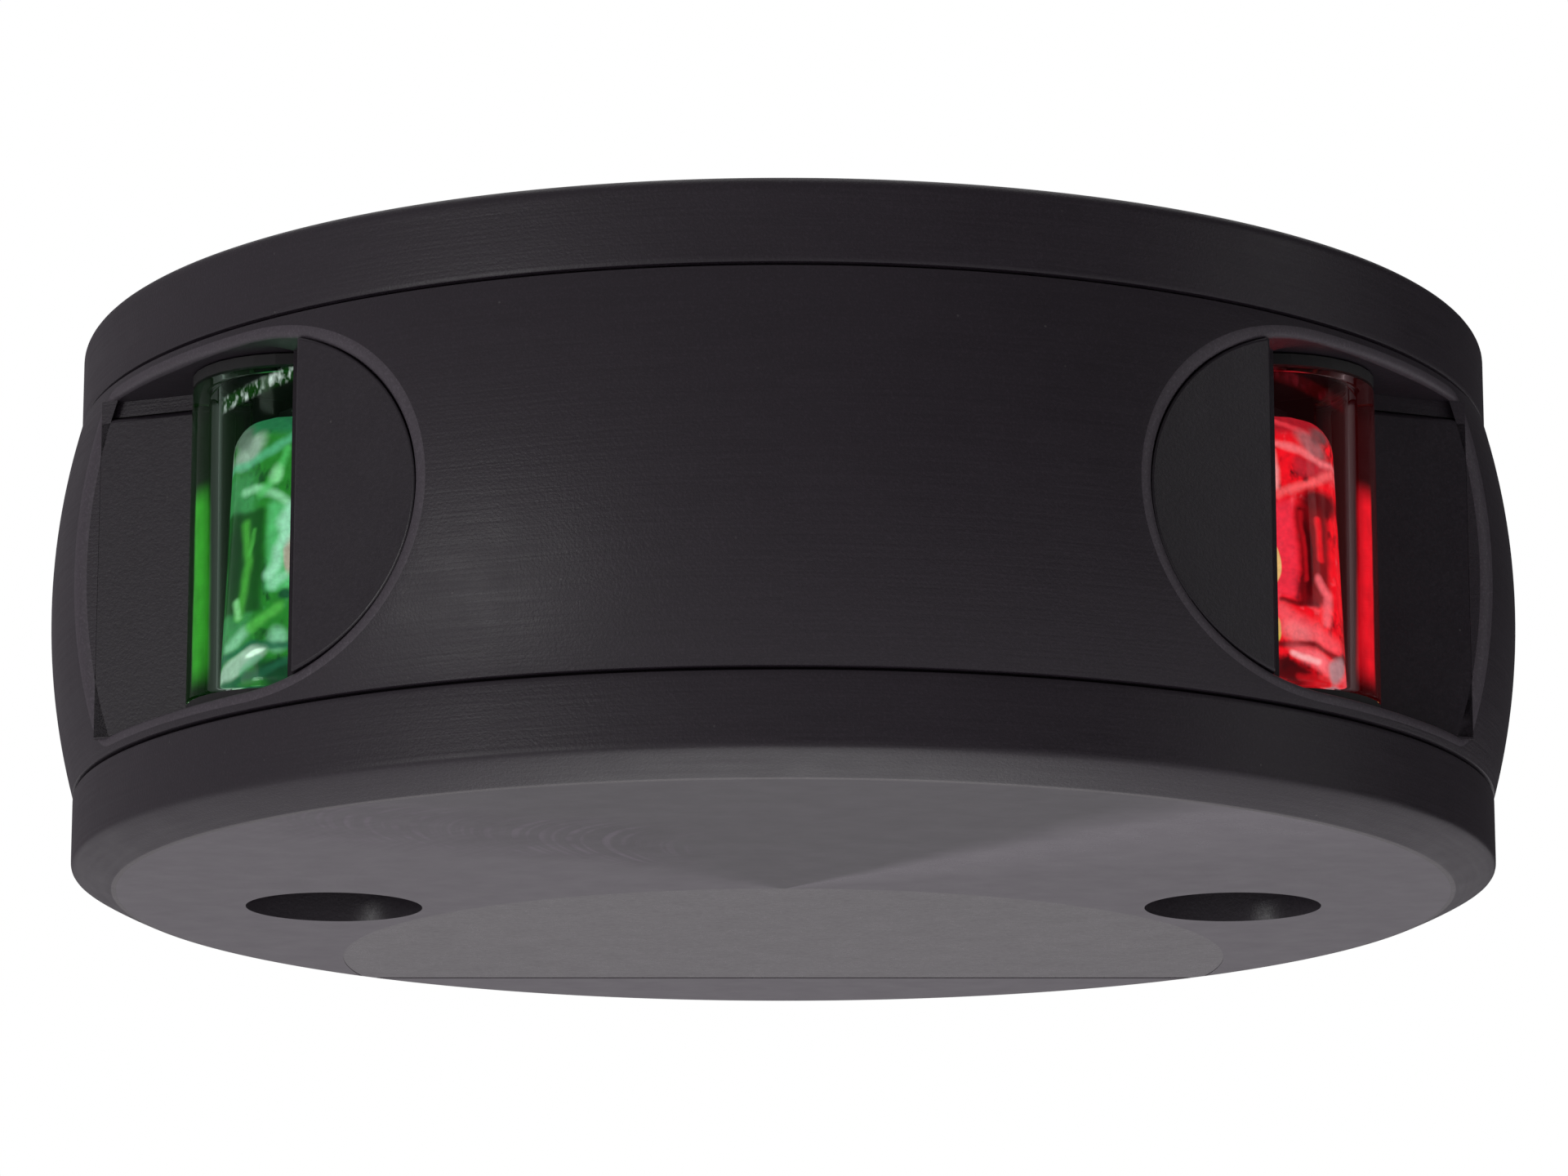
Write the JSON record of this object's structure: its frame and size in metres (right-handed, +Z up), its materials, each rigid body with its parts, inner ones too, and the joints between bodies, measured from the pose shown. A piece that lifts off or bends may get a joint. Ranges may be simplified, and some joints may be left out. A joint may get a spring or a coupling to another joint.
{
  "type": "bicolour navigation light",
  "caption": "Low round black bicolour navigation light with a barrel-shaped rim, green and red side windows behind cut-off shutters, and counterbored screw holes.",
  "frame": {"origin": "centre of the flat underside", "axes": "+Z up to the mounting face, -Y dead ahead (towards the bow), -X to starboard (green), +X to port (red)"},
  "size_m": [0.083, 0.083, 0.0308],
  "materials": {
    "black_housing": "machined black acetal, satin with fine turning and milling marks",
    "seal_rubber": "matt black rubber",
    "green_lens": "polished transparent green",
    "red_lens": "polished transparent red",
    "clear_optic": "polished clear acrylic",
    "emitter": "silicone dome over yellow phosphor",
    "stainless": "plain stainless steel",
    "white_board": "white solder mask on a metal core",
    "aluminium": "sawn and milled aluminium",
    "lead_jacket": "black wire jacket",
    "green_board": "green solder mask",
    "component_black": "moulded black",
    "capacitor_sleeve": "shrink sleeve",
    "terminal_green": "moulded green"
  },
  "bodies": {
    "root": {"bottom_cap": "black_housing", "housing_body": "black_housing", "top_plate": "black_housing", "starboard_front_shutter": "black_housing", "port_front_shutter": "black_housing", "starboard_rear_shutter": "black_housing", "port_rear_shutter": "black_housing", "lower_seal": "seal_rubber", "upper_seal": "seal_rubber", "starboard_lens_gasket_lower": "seal_rubber", "port_lens_gasket_lower": "seal_rubber", "starboard_lens_gasket_upper": "seal_rubber", "port_lens_gasket_upper": "seal_rubber", "cable_gland": "seal_rubber", "starboard_lens": "green_lens", "port_lens": "red_lens", "starboard_optic": "clear_optic", "port_optic": "clear_optic", "starboard_led": "emitter", "port_led": "emitter", "starboard_board_screw_lower": "stainless", "port_board_screw_lower": "stainless", "starboard_board_screw_upper": "stainless", "port_board_screw_upper": "stainless", "driver_screw_fore": "stainless", "driver_screw_aft": "stainless", "assembly_screw_1": "stainless", "assembly_screw_2": "stainless", "assembly_screw_3": "stainless", "assembly_screw_4": "stainless", "starboard_led_board": "white_board", "port_led_board": "white_board", "starboard_heat_spreader": "aluminium", "port_heat_spreader": "aluminium", "starboard_led_lead": "lead_jacket", "port_led_lead": "lead_jacket", "driver_board": "green_board", "inductor": "component_black", "rectifier": "component_black", "driver_chip": "component_black", "capacitor": "capacitor_sleeve", "terminal_block": "terminal_green"}
  },
  "joints": []
}
